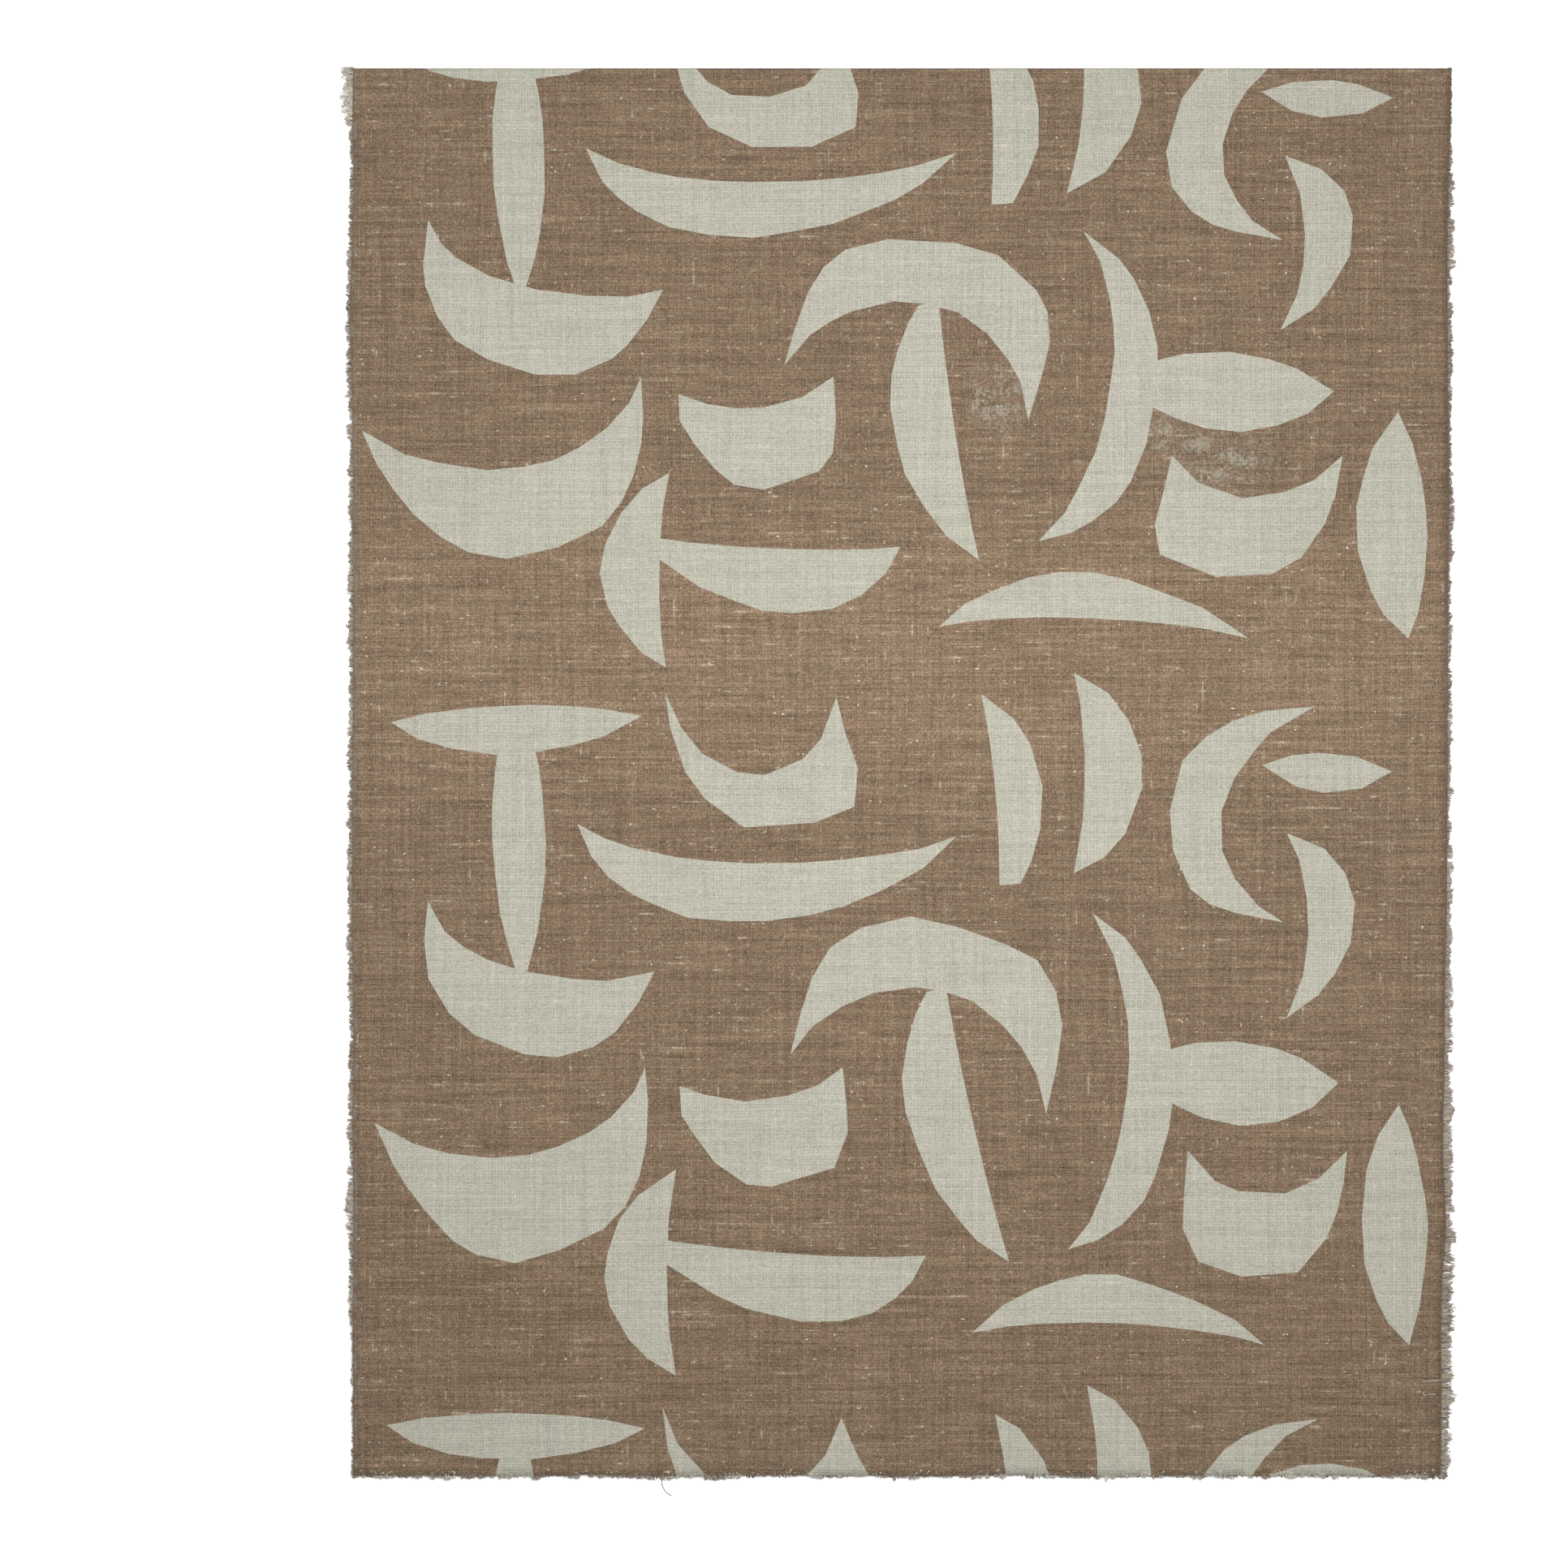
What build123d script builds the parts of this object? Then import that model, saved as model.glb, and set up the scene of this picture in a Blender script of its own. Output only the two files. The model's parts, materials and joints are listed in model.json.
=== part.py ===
from build123d import *
import os

# A printed linen table runner, folded once across its length and laid flat on a table.
# Millimetres. X runs across the cloth, Y runs along it towards the fold, and Z is up from the table.
# The back half lies on the table. The front half lies over it and lifts about the fold's own axis,
# which runs along X at mid height, so that the opened runner is level from end to end.

# Driving dimensions
woven_width = 354.0  # across the cloth, over the outer faces of its two edge binders
folded_length = 457.2  # from the fold's outer face to the tips of the cut ends
cloth_thickness = 0.6
fold_radius = 0.8  # to the middle of the cloth, where it turns over
fold_leg = 2.0  # the flat cloth that turns with the fold, on each layer
binder_width = 0.9  # the pair of twisted threads that locks the weft ends
side_fringe = 2.6  # weft ends that stand out past the binder
end_fringe = 1.8  # frayed warp ends at each cut end
fringe_thickness = 0.4
fold_clearance = 0.3  # between the turned cloth and the half that lifts away from it

# Derived places
outer_radius = fold_radius + cloth_thickness / 2
axis_height = outer_radius
axis_y = folded_length / 2 - outer_radius
cut_edge_y = end_fringe - folded_length / 2
layer_middle = {"back": axis_height - fold_radius, "front": axis_height + fold_radius}
layer_edge_y = {"back": axis_y - fold_leg, "front": axis_y - fold_leg - fold_clearance}
panel_edge = woven_width / 2 - binder_width
binder_middle = woven_width / 2 - binder_width / 2
fringe_middle = woven_width / 2 + side_fringe / 2
sides = {"left": -1, "right": 1}

os.makedirs("parts", exist_ok=True)


def strip_middle(side, distance):
    """Where a strip's middle lies in X, on one side of the cloth."""
    return sides[side] * distance


def lay_flat(node, middle_x, width, near_y, far_y, middle_z, thickness):
    """Makes and saves one flat piece of a layer, from near_y at the cut end to far_y at the fold."""
    with BuildPart() as flat:
        with BuildSketch(Plane.XY.offset(middle_z)):
            with Locations((middle_x, (near_y + far_y) / 2)):
                Rectangle(width, far_y - near_y)
        extrude(amount=thickness / 2, both=True)
    flat.part.label = node
    export_step(flat.part, f"parts/{node}.step")


def turn_over(node, middle_x, width, thickness):
    """Makes and saves one piece of the fold: a half ring between its two flat legs."""
    outer = fold_radius + thickness / 2
    inner = fold_radius - thickness / 2
    across = Plane(origin=(middle_x, axis_y, axis_height), x_dir=(0, 1, 0), z_dir=(1, 0, 0))
    with BuildPart() as turned:
        with BuildSketch(across):
            with BuildLine():
                Line((-fold_leg, -outer), (0, -outer))
                ThreePointArc((0, -outer), (outer, 0), (0, outer))
                Polyline((0, outer), (-fold_leg, outer), (-fold_leg, inner), (0, inner))
                ThreePointArc((0, inner), (inner, 0), (0, -inner))
                Polyline((0, -inner), (-fold_leg, -inner), (-fold_leg, -outer))
            make_face()
        extrude(amount=width / 2, both=True)
    turned.part.label = node
    export_step(turned.part, f"parts/{node}.step")


# The two layers, each with its panel, its edge binders and its fringes
for layer, middle_z in layer_middle.items():
    far_y = layer_edge_y[layer]
    lay_flat(f"{layer}_panel", 0, 2 * panel_edge, cut_edge_y, far_y, middle_z, cloth_thickness)
    lay_flat(
        f"{layer}_end_fringe", 0, 2 * panel_edge, -folded_length / 2, cut_edge_y, middle_z, fringe_thickness
    )
    for side in sides:
        lay_flat(
            f"{layer}_binder_{side}",
            strip_middle(side, binder_middle),
            binder_width,
            cut_edge_y,
            far_y,
            middle_z,
            cloth_thickness,
        )
        lay_flat(
            f"{layer}_fringe_{side}",
            strip_middle(side, fringe_middle),
            side_fringe,
            cut_edge_y,
            far_y,
            middle_z,
            fringe_thickness,
        )

# The fold, where the cloth, both binders and both fringes turn over together
turn_over("fold_panel", 0, 2 * panel_edge, cloth_thickness)
for side in sides:
    turn_over(f"fold_binder_{side}", strip_middle(side, binder_middle), binder_width, cloth_thickness)
    turn_over(f"fold_fringe_{side}", strip_middle(side, fringe_middle), side_fringe, fringe_thickness)
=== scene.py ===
"""The looks of a printed linen table runner, folded once and laid flat.

The cloth is one sheet: it lies on top from its front cut end to the fold, turns over there, and lies on the
table back to its other cut end. Places on it are two lengths in metres: across, which is the frame's X, and
along, which runs over the cloth's middle surface from the front cut end, round the fold, to the back one.
"""

import functools
import json
import math

import bpy
import numpy as np
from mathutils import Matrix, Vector
from mathutils.geometry import delaunay_2d_cdt


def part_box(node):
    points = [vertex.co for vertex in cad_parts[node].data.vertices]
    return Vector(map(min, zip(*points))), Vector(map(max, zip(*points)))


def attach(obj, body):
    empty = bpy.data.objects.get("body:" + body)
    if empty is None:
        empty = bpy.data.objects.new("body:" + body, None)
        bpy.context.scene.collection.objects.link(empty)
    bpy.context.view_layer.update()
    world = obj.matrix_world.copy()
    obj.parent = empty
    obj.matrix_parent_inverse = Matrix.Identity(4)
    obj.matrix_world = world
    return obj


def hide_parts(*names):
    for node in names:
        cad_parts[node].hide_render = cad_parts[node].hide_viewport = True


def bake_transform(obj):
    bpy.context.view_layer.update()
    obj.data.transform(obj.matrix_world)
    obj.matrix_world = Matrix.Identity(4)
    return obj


MM = 0.001
UP = np.array([0.0, 0.0, 1.0])

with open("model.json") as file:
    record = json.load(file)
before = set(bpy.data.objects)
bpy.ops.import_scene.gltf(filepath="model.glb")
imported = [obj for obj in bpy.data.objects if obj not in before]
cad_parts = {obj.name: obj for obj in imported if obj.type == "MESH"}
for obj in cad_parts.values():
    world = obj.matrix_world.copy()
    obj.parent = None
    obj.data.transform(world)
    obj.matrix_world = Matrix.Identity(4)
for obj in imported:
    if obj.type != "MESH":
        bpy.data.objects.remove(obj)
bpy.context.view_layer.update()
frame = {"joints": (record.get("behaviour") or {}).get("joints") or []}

# ---- Places that come from the frame ----

hinge = Vector(frame["joints"][0]["pos_m"])
front_low, front_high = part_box("front_panel")
back_low, back_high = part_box("back_panel")

cloth_thickness = back_high.z - back_low.z
turn_radius = (front_low.z + front_high.z) / 2 - hinge.z
layer_length = hinge.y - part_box("front_end_fringe")[0].y
turn_length = math.pi * turn_radius
flat_length = 2 * layer_length + turn_length
half_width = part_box("front_binder_right")[1].x

# ---- The cloth's own sizes ----

yarn_pitch = 0.97 * MM
fringe_pitch = 0.9 * MM
frayed_end = 0.7 * MM  # how far the weave has come apart at a cut end
grid_step = 3.0 * MM
fine_step = 0.7 * MM
# Creases pressed in by an earlier folding: distances along the cloth, and depths.
creases = ((42.3 * MM, 0.30 * MM), (263.4 * MM, 0.45 * MM))
crease_width = 1.3 * MM
# Faint lengthwise creases, as distances across the cloth, and their height.
lengthwise_creases = (0.0, 61.5 * MM)
lengthwise_crease_height = 0.18 * MM

# Where the weave's edges and the right fringe's tips bulge outward: each rise's height, distance from the
# layer's cut end, and breadth, in millimetres.
LEFT_EDGE_RISES = ((0.9, 374, 24), (0.4, 195, 20))
RIGHT_EDGE_RISES = ((0.6, 320, 30), (1.3, 82, 16))
RIGHT_FRINGE_RISES = ((0.9, 404, 14), (1.1, 313, 9), (0.7, 70, 12))
RIGHT_FRINGE_LINE = 178.7  # where those tips lie on average, in millimetres from the middle


def smooth_step(value, start, end):
    """0 before start, 1 after end, and smooth between them. start may be the larger."""
    share = np.clip((np.asarray(value, float) - start) / (end - start), 0, 1)
    return share * share * (3 - 2 * share)


def bump(value, middle, width):
    """A smooth rise of height 1 about middle."""
    return np.exp(-(((np.asarray(value, float) - middle) / width) ** 2))


def rises(from_end, shapes):
    """The sum of some rises, in millimetres, at distances from a cut end."""
    return sum(height * bump(from_end, place * MM, breadth * MM) for height, place, breadth in shapes)


def wander(value, seed, wavelength):
    """A smooth wave between about -1 and 1, whose longest wave is wavelength."""
    value = np.asarray(value, float)
    random = np.random.default_rng(seed)
    total = np.zeros_like(value)
    weights = [1 / 1.6**octave for octave in range(3)]
    for octave, weight in enumerate(weights):
        turns = value / (wavelength / 1.9**octave)
        for _ in range(2):
            phase, stretch = random.uniform(0, 2 * math.pi), random.uniform(0.8, 1.25)
            total += weight * np.sin(2 * math.pi * turns * stretch + phase)
    return total / (2 * sum(weights))


def distance_from_cut_end(along):
    """How far a place is from its own layer's cut end."""
    return np.minimum(along, flat_length - np.asarray(along, float))


def left_edge(along):
    """Where the weave ends on the left: nearly straight, with two slow swells."""
    outward = 0.75 + rises(distance_from_cut_end(along), LEFT_EDGE_RISES)
    return -half_width - outward * MM + 0.30 * MM * wander(along, 3, 60 * MM)


def right_edge(along):
    """Where the weave ends on the right: wide at the fold, and drifting in towards the cut ends."""
    from_end = distance_from_cut_end(along)
    wide = 1.2 * smooth_step(from_end, 395 * MM, 455 * MM)
    drift = 2.1 * smooth_step(from_end, 230 * MM, 40 * MM)
    outward = 0.1 + wide - drift + rises(from_end, RIGHT_EDGE_RISES)
    return half_width + outward * MM + 0.15 * MM * wander(along, 4, 90 * MM)


SIDES = {"left": (left_edge, -1), "right": (right_edge, 1)}  # a side's edge, and its way outward


def layer_lift(across, along):
    """How far the front layer rises off its flat place: slow swells, and creases."""
    across, along = np.asarray(across, float), np.asarray(along, float)
    swells = (
        0.45 * wander(across + 0.3 * along, 11, 210 * MM)
        + 0.40 * wander(along - 0.2 * across, 12, 170 * MM)
        + 0.12 * wander(across - along, 13, 47 * MM)
    )
    lift = 0.30 * MM + 0.45 * MM * swells
    for place, depth in creases:
        offset = np.abs(along - place)
        strength = depth * (0.6 + 0.4 * wander(across, 14, 120 * MM))
        lift += strength * (0.8 * np.exp(-offset / (6 * MM)) - np.exp(-offset / crease_width))
    for place in lengthwise_creases:
        offset = np.abs(across - place - 1.5 * MM * wander(along, 15, 260 * MM))
        lift += lengthwise_crease_height * np.exp(-offset / (5 * MM))
    free_at_fold = smooth_step(along, layer_length - 1 * MM, layer_length - 22 * MM)
    free_at_cut_end = 0.3 + 0.7 * smooth_step(along, 0, 25 * MM)
    return np.maximum(lift, 0) * free_at_fold * free_at_cut_end


def cloth_places(across, along):
    """Points on the cloth's middle surface, and which way its printed side faces there."""
    across, along = np.asarray(across, float), np.asarray(along, float)
    angle = np.clip((along - layer_length) / turn_radius, 0, math.pi)
    on_back = np.maximum(along - layer_length - turn_length, 0)
    before_fold = np.maximum(layer_length - along, 0)
    y = hinge.y - before_fold + turn_radius * np.sin(angle) - on_back
    z = hinge.z + turn_radius * np.cos(angle) + layer_lift(across, along) * (before_fold > 0)
    normal = np.stack([np.zeros_like(y), np.sin(angle), np.cos(angle)], axis=-1)
    return np.stack([across, y, z], axis=-1), normal


# ---- The print: bare shapes left in a brown ground ----

# Each blade is cut between two tips, in millimetres across the cloth and along it from the repeat's line.
# Its outer and inner sides swell off the line between them, to the right of the way from the first to the
# second: a leaf's sides opposite ways, a crescent's the same way. A side is its height, how far its fullest
# place leans towards the second tip, and how far it hangs out past the first and second tips, the last
# three as shares of the blade's length. cut_short gives the shares snipped off at the two tips.
BLADES = dict(
    # A bar with a leaf hanging from it
    bar=dict(tips=((-165, -1), (-84, 1)), outer=(11.3, -0.04), inner=(-4.4,)),
    hanging_leaf=dict(tips=((-125, -4), (-123, -82)), outer=(8.2,), inner=(-8.8,), cut_short=(0.14, 0.03)),
    # A bowl, a smaller and steeper one, and a long flat one
    bowl=dict(tips=((-153, -59), (-80, -82)), outer=(39, 0.02, 0.08, 0.07), inner=(13, -0.1)),
    steep_bowl=dict(tips=((-76.5, 8.5), (-21, 7)), outer=(43, 0.12, 0.10, 0.30), inner=(25.5, 0, 0, 0.06)),
    flat_bowl=dict(tips=((-105, -34), (18, -38)), outer=(30, -0.07, 0.03), inner=(11, -0.05)),
    # Two upright slivers
    cut_sliver=dict(tips=((26, 8), (31, -54)), outer=(-17, 0, 0.03), inner=(-2,), cut_short=(0, 0.1)),
    sliver=dict(tips=((56, 15), (56, -50)), outer=(-22, 0, 0.03, 0.03), inner=(-3.5,)),
    # A sickle, a small leaf, and a thinner sickle that faces them
    sickle=dict(tips=((134, 4), (124, -66)), outer=(42, 0.0, 0.05, 0.14), inner=(24.5, 0.06)),
    small_leaf=dict(tips=((117, -15), (159, -17)), outer=(8,), inner=(-5,)),
    thin_sickle=dict(tips=((125, -37), (125, -97)), outer=(-22, -0.06, 0.04), inner=(-7,)),
    # An arch over a leaf
    arch=dict(tips=((-36, -109), (47, -128)), outer=(-53, 0.02, 0.16, 0.15), inner=(-31, 0, 0.02, 0.02)),
    arch_leaf=dict(tips=((15, -87), (35, -176)), outer=(22, -0.05), inner=(1.5,), cut_short=(0.06, 0)),
    # A bow with a leaf across it
    bow=dict(tips=((62, -63), (54, -172)), outer=(-30, 0.04, 0.04, 0.05), inner=(-15.5,)),
    bow_leaf=dict(tips=((76, -114), (142, -118)), outer=(15.5, 0.03), inner=(-11.5, -0.04)),
    # A broad bowl and a cup
    broad_bowl=dict(tips=((-170, -131), (-83, -113)), outer=(53.5, -0.02, 0.04, 0.09), inner=(20, 0.05)),
    cup=dict(tips=((-72, -116), (-19, -113)), outer=(38, 0.04, 0, 0.17), inner=(9.2,), cut_short=(0.06, 0)),
    # A half moon with a leaf beside it
    half_moon=dict(tips=((-73, -146), (-73, -213)), outer=(23,), inner=(3,)),
    moon_leaf=dict(tips=((-84, -167.5), (8, -174)), outer=(24, 0.08, 0, 0.03), inner=(2.5,)),
    # A second cup, an upright leaf and a low arch
    right_cup=dict(tips=((93, -140), (145, -140)), outer=(42, -0.03, 0.21, 0.08), inner=(14.5, -0.03)),
    upright_leaf=dict(tips=((162, -125), (166, -203)), outer=(14.5, 0.02), inner=(-7,)),
    low_arch=dict(tips=((23, -199), (118, -203)), outer=(-20.5, -0.06, -0.03, -0.03), inner=(-5,)),
)

# The cloth did not lie quite straight under the print. For each repeat: its line's place along the cloth in
# millimetres, its stretch, and how far its middle sways to the right at that line and leans above it.
REPEATS = (
    (15, 1.0, 4.5, 0.0),
    (246, 1.0, 0.0, 0.0),
    (463.5, 0.943, 0.5, 0.058),
    (688, 0.97, 0.0, 0.03),
    (916, 0.98, 2.0, 0.0),
)

# Blades that sit or bend a little differently in one repeat, by that repeat's number.
MOVED_BLADES = {
    0: dict(
        bar=dict(tips=((-166.5, 2), (-84, 1))),
        hanging_leaf=dict(inner=(-6.5,)),
        cut_sliver=dict(tips=((26, 5.5), (31, -54))),
        sickle=dict(outer=(38, 0.0, 0.05, 0.14)),
        steep_bowl=dict(
            tips=((-78.5, 8), (-22.5, 4.5)), outer=(43, 0.12, 0.10, 0.42), inner=(28, 0.03, 0, 0.03)
        ),
    ),
    2: dict(
        bowl=dict(tips=((-153, -59), (-76, -83)), outer=(41.5, 0.02, 0.08, 0.07)),
        steep_bowl=dict(tips=((-75.5, 9), (-20, 7))),
        flat_bowl=dict(tips=((-102, -34.5), (19.5, -36))),
        sickle=dict(tips=((135, 4), (125, -66))),
        arch=dict(tips=((-34.5, -109), (48, -128))),
        arch_leaf=dict(tips=((17, -87), (35, -176))),
        bow=dict(tips=((62, -63), (53.5, -169.5))),
        right_cup=dict(outer=(42, -0.05, 0.26, 0.08)),
        broad_bowl=dict(tips=((-174, -131.5), (-83, -113)), inner=(22.5, 0.05)),
        cup=dict(tips=((-70.5, -116), (-17.5, -113))),
        moon_leaf=dict(tips=((-83, -167.5), (8.5, -171.5))),
    ),
}

FACET_LENGTH = 13.5  # of a scissor cut, in millimetres


def blade_side(span, cut_short, random, height, lean=0.0, past_first=0.0, past_second=0.0):
    """One side of a blade as straight scissor cuts: shares of the span, and heights off it."""
    cuts = max(3, round((span + 1.5 * abs(height)) / FACET_LENGTH))
    steps = np.cumsum(random.uniform(0.7, 1.3, cuts))
    start, end = cut_short[0], 1 - cut_short[1]
    even = np.concatenate([[0], steps / steps[-1]])
    # The deeper a side, the closer together its cuts lie at the two tips, where it turns steeply.
    crowding = min(0.6, 0.7 * abs(height) / span)
    turn = start + (end - start) * (even - crowding * np.sin(2 * math.pi * even) / (2 * math.pi))
    swing = np.sin(2 * math.pi * turn)
    share = turn + lean * np.sin(math.pi * turn)
    share -= past_first * np.maximum(swing, 0)
    share -= past_second * np.minimum(swing, 0)
    share = (share - share[0]) / (share[-1] - share[0])
    return share, height * np.sin(math.pi * turn) ** 0.68 * random.uniform(0.98, 1.03, cuts + 1)


def blade_outline(tips, outer, inner, random, cut_short=(0.0, 0.0)):
    """A blade's outline in millimetres, as a closed ring of corners."""
    first, second = (np.array(tip, float) for tip in tips)
    span = np.linalg.norm(second - first)
    ahead = (second - first) / span
    right = np.array([ahead[1], -ahead[0]])
    halves = []
    for side in (outer, inner):
        share, rise = blade_side(span, cut_short, random, *side)
        halves.append(first + np.outer(share * span, ahead) + np.outer(rise, right))
    return np.concatenate([halves[0], halves[1][::-1]])


def clipped(outline, limit, keep_above):
    """The outline's part on one side of a line across the cloth."""
    kept = []
    for here, there in zip(outline, np.roll(outline, -1, axis=0)):
        inside_here = (here[1] > limit) == keep_above
        inside_there = (there[1] > limit) == keep_above
        if inside_here:
            kept.append(here)
        if inside_here != inside_there:
            share = (limit - here[1]) / (there[1] - here[1])
            kept.append(here + share * (there - here))
    return np.array(kept)


def print_outlines():
    """Every bare shape on the cloth, in metres across and along it."""
    outlines = []
    for number, (line, stretch, sway, lean) in enumerate(REPEATS):
        random = np.random.default_rng(70 + number)
        moved = MOVED_BLADES.get(number, {})
        for name, blade in BLADES.items():
            ring = blade_outline(random=random, **{**blade, **moved.get(name, {})})
            across = ring[:, 0] + (sway + lean * ring[:, 1]) * bump(ring[:, 0], 35, 95)
            along = line + stretch * ring[:, 1]
            ring = clipped(np.stack([across, along], axis=1) * MM, 0.0, True)
            ring = clipped(ring, flat_length, False)
            if len(ring):
                outlines.append(ring)
    return outlines


def inside_any(points, outlines):
    """Which points lie inside at least one outline."""
    found = np.zeros(len(points), bool)
    for ring in outlines:
        low, high = ring.min(0), ring.max(0)
        near = np.flatnonzero(np.all((points >= low) & (points <= high), axis=1) & ~found)
        if not len(near):
            continue
        x, y = points[near, 0], points[near, 1]
        crossings = np.zeros(len(near), int)
        for (x0, y0), (x1, y1) in zip(ring, np.roll(ring, -1, axis=0)):
            if y0 == y1:
                continue
            spans = (y0 > y) != (y1 > y)
            crossings += spans & (x < x0 + (y - y0) * (x1 - x0) / (y1 - y0))
        found[near[crossings % 2 == 1]] = True
    return found


bare_outlines = print_outlines()

# ---- Making meshes ----


def linked(name, data):
    """A new object in the scene."""
    made = bpy.data.objects.new(name, data)
    bpy.context.scene.collection.objects.link(made)
    return made


def make_mesh(name, points, faces, places, materials, face_slots=None, tints=None):
    """An object whose points carry their places on the cloth, and tints if given."""
    mesh = bpy.data.meshes.new(name)
    mesh.from_pydata(np.asarray(points).tolist(), [], [list(map(int, face)) for face in faces])
    attribute = mesh.attributes.new("cloth_place", "FLOAT_VECTOR", "POINT")
    values = np.zeros((len(points), 3), np.float32)
    values[:, : places.shape[1]] = places
    attribute.data.foreach_set("vector", values.ravel())
    if tints is not None:
        attribute = mesh.attributes.new("tint", "FLOAT", "POINT")
        attribute.data.foreach_set("value", np.asarray(tints, np.float32))
    for material in materials:
        mesh.materials.append(material)
    if face_slots is not None:
        mesh.polygons.foreach_set("material_index", np.asarray(face_slots, np.int32))
    mesh.polygons.foreach_set("use_smooth", np.ones(len(mesh.polygons), bool))
    mesh.update()
    return linked(name, mesh)


def spaced(start, end, step):
    """Evenly spaced values from start to end, both included."""
    return np.linspace(start, end, max(2, round((end - start) / step) + 1))


def cloth_rows():
    """Where the mesh has its rows: close together at creases and round the fold."""
    fold_start, fold_end = layer_length, layer_length + turn_length
    rows = [
        spaced(0, fold_start - 4 * MM, grid_step),
        spaced(fold_start - 4 * MM, fold_start, 1.0 * MM),
        spaced(fold_start, fold_end, 0.21 * MM),
        spaced(fold_end, fold_end + 4 * MM, 1.0 * MM),
        spaced(fold_end + 4 * MM, flat_length, 2 * grid_step),
    ]
    for place, _ in creases:
        rows.append(spaced(place - 6 * MM, place + 6 * MM, fine_step))
    ordered = np.unique(np.round(np.concatenate(rows), 7))
    return ordered[np.concatenate([[True], np.diff(ordered) > 0.15 * MM])]


def split_at_grid(ring, columns, rows):
    """The ring with a corner added where it crosses a column or row, so that it bends with the cloth."""
    corners = []
    for here, there in zip(ring, np.roll(ring, -1, axis=0)):
        shares = [0.0]
        for lines, axis in ((columns, 0), (rows, 1)):
            crossed = lines[(lines - here[axis]) * (lines - there[axis]) < 0]
            shares += [(line - here[axis]) / (there[axis] - here[axis]) for line in crossed]
        corners += [here + share * (there - here) for share in sorted(shares)]
    return corners


def flat_cloth():
    """The flat cloth as triangles along the print's outlines: points, triangles, and which are bare."""
    columns = spaced(-half_width, half_width, grid_step)
    close_columns = spaced(-half_width, half_width, 1.1 * fine_step)
    rows = cloth_rows()
    turning = (rows > layer_length - 0.1 * MM) & (rows < layer_length + turn_length + 0.1 * MM)
    flat_part = np.stack(np.meshgrid(columns, rows[~turning]), axis=-1).reshape(-1, 2)
    fold_part = np.stack(np.meshgrid(close_columns, rows[turning]), axis=-1).reshape(-1, 2)
    points, edges = [Vector(point) for point in (*flat_part, *fold_part)], []
    for ring in bare_outlines:
        corners = split_at_grid(ring, columns, rows)
        first, count = len(points), len(corners)
        points += [Vector(corner) for corner in corners]
        edges += [(first + step, first + (step + 1) % count) for step in range(count)]
    found, _, triangles, *_ = delaunay_2d_cdt(points, edges, [], 0, 1e-6, False)
    flat = np.array([tuple(point) for point in found])
    corners = np.array([face for face in triangles if len(face) == 3])
    first, second, third = flat[corners].transpose(1, 0, 2)
    doubled_area = np.cross(second - first, third - first)
    corners[doubled_area < 0] = corners[doubled_area < 0, ::-1]
    corners = corners[np.abs(doubled_area) > 1e-12]
    bare = inside_any(flat[corners].mean(axis=1), bare_outlines)
    return flat, corners, bare


def fitted_across(across, along):
    """Moves places across the cloth, so that its sides follow the real edges."""
    share = across / half_width
    left = left_edge(along) + half_width
    right = right_edge(along) - half_width
    return across + left * np.maximum(-share, 0) ** 6 + right * np.maximum(share, 0) ** 6


def fitted_along(across, along):
    """Moves the cut ends' rows in, unevenly, where the weave has come apart."""
    ragged = frayed_end * (1 + 0.55 * wander(across, 21, 70 * MM) + 0.3 * wander(across, 22, 9 * MM))
    from_end = distance_from_cut_end(along)
    pull = ragged * np.clip(1 - from_end / (12 * MM), 0, 1)
    return along + np.where(along < flat_length / 2, pull, -pull)


def boundary_edges(triangles):
    """The edges that only one triangle has, in that triangle's own direction."""
    sides = np.concatenate([triangles[:, [0, 1]], triangles[:, [1, 2]], triangles[:, [2, 0]]])
    keys = np.sort(sides, axis=1)
    _, first, counts = np.unique(keys, axis=0, return_index=True, return_counts=True)
    return sides[first[counts == 1]]


def make_cloth(materials):
    """The whole sheet, closed, with its printed side out and its reverse inside the fold."""
    flat, triangles, bare = flat_cloth()
    across = fitted_across(flat[:, 0], flat[:, 1])
    along = fitted_along(across, flat[:, 1])
    middle, normal = cloth_places(across, along)
    printed = middle + normal * cloth_thickness / 2
    reverse = middle - normal * cloth_thickness / 2
    count = len(flat)
    rim = boundary_edges(triangles)
    rim_faces = np.stack([rim[:, 1], rim[:, 0], rim[:, 0] + count, rim[:, 1] + count], axis=1)
    faces = [*triangles, *(triangles[:, ::-1] + count), *rim_faces]
    slots = np.concatenate([bare.astype(int), 2 + bare.astype(int), np.full(len(rim), 2)])
    places = np.stack([across, along, across - left_edge(along)], axis=1)
    points = np.concatenate([printed, reverse])
    cloth = make_mesh("runner_cloth", points, faces, np.concatenate([places, places]), materials, slots)
    cloth.data.polygons.foreach_set("use_smooth", np.arange(len(faces)) < len(faces) - len(rim))
    return cloth


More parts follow.
